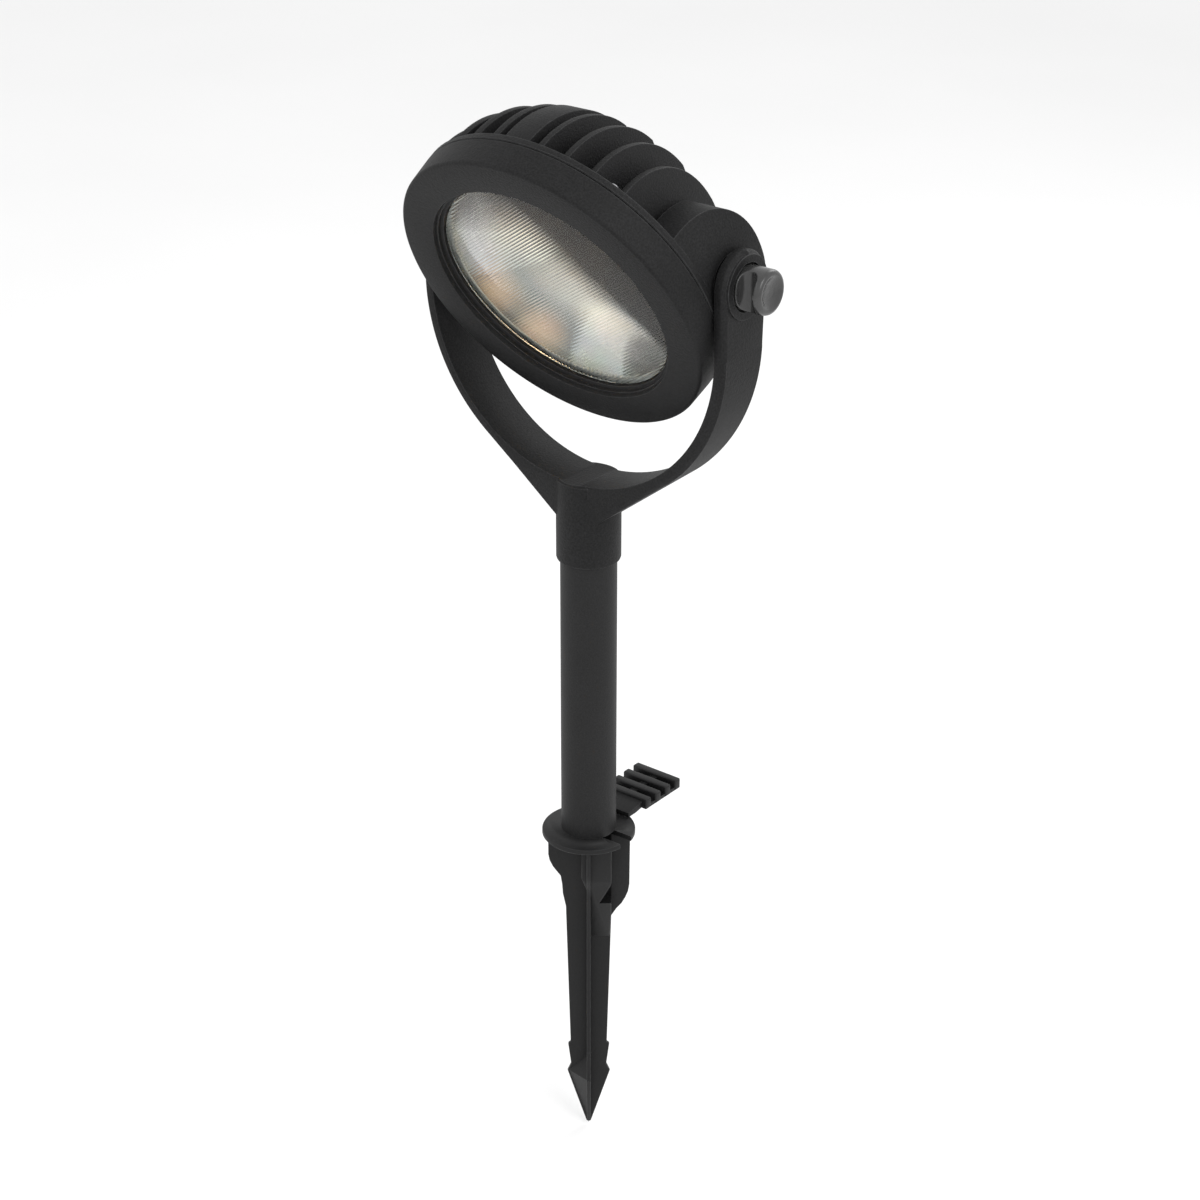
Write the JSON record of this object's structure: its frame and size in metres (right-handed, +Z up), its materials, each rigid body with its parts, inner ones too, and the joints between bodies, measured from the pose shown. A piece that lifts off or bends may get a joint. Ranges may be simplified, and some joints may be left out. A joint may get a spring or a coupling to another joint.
{
  "type": "light projector stake",
  "caption": "Round garden light projector with a finned housing, held in a tilting bowl-shaped yoke on a short tube over a barbed ground stake.",
  "frame": {"origin": "on the stake's axis at the soil line, the underside of the stake's flange", "axes": "+Z up along the tube, X along the tilt axis with +X towards the hand knob, the lamp faces -Y and downwards"},
  "size_m": [0.1748, 0.1145, 0.505],
  "materials": {
    "cast_metal": "fine-textured charcoal powder coat",
    "tube_paint": "matt charcoal paint",
    "plastic": "matt charcoal moulded plastic",
    "rubber": "matt",
    "knob": "satin to gloss",
    "steel": "brushed",
    "glass": "clear, finely ribbed inside",
    "reflector": "bright faceted",
    "board": "white",
    "lamp": "warm yellow"
  },
  "bodies": {
    "stake": {"ground_spike": "plastic", "cable_comb": "plastic", "stem_tube": "tube_paint"},
    "yoke": {"yoke": "cast_metal", "grub_screw": "steel", "pivot_screw": "steel", "knob_washer": "steel"},
    "knob": {"wing_knob": "knob"},
    "head": {"front_bezel": "cast_metal", "lens_gasket": "rubber", "bezel_seal": "rubber", "front_glass": "glass", "reflector": "reflector", "led_board": "board", "led_lamp": "lamp", "driver_module": "plastic", "heat_sink_housing": "cast_metal", "rim_screw_1": "steel", "rim_screw_2": "steel", "rim_screw_3": "steel", "rim_screw_4": "steel", "pivot_spacer_left": "plastic", "pivot_spacer_right": "plastic", "gland_body": "plastic", "gland_nut": "plastic", "gland_seal": "rubber"}
  },
  "joints": [
    {"name": "yoke_swivel", "type": "hinge", "parent": "stake", "child": "yoke", "pos_m": [0, 0, 0.15], "axis": [0, 0, 1], "range_deg": [-180, 180]},
    {"name": "head_tilt", "type": "hinge", "parent": "yoke", "child": "head", "pos_m": [0, 0, 0.279], "axis": [-1, 0, 0], "range_deg": [-61, 119]},
    {"name": "knob_turn", "type": "hinge", "parent": "yoke", "child": "knob", "pos_m": [0.08, 0, 0.279], "axis": [1, 0, 0], "continuous": true}
  ]
}
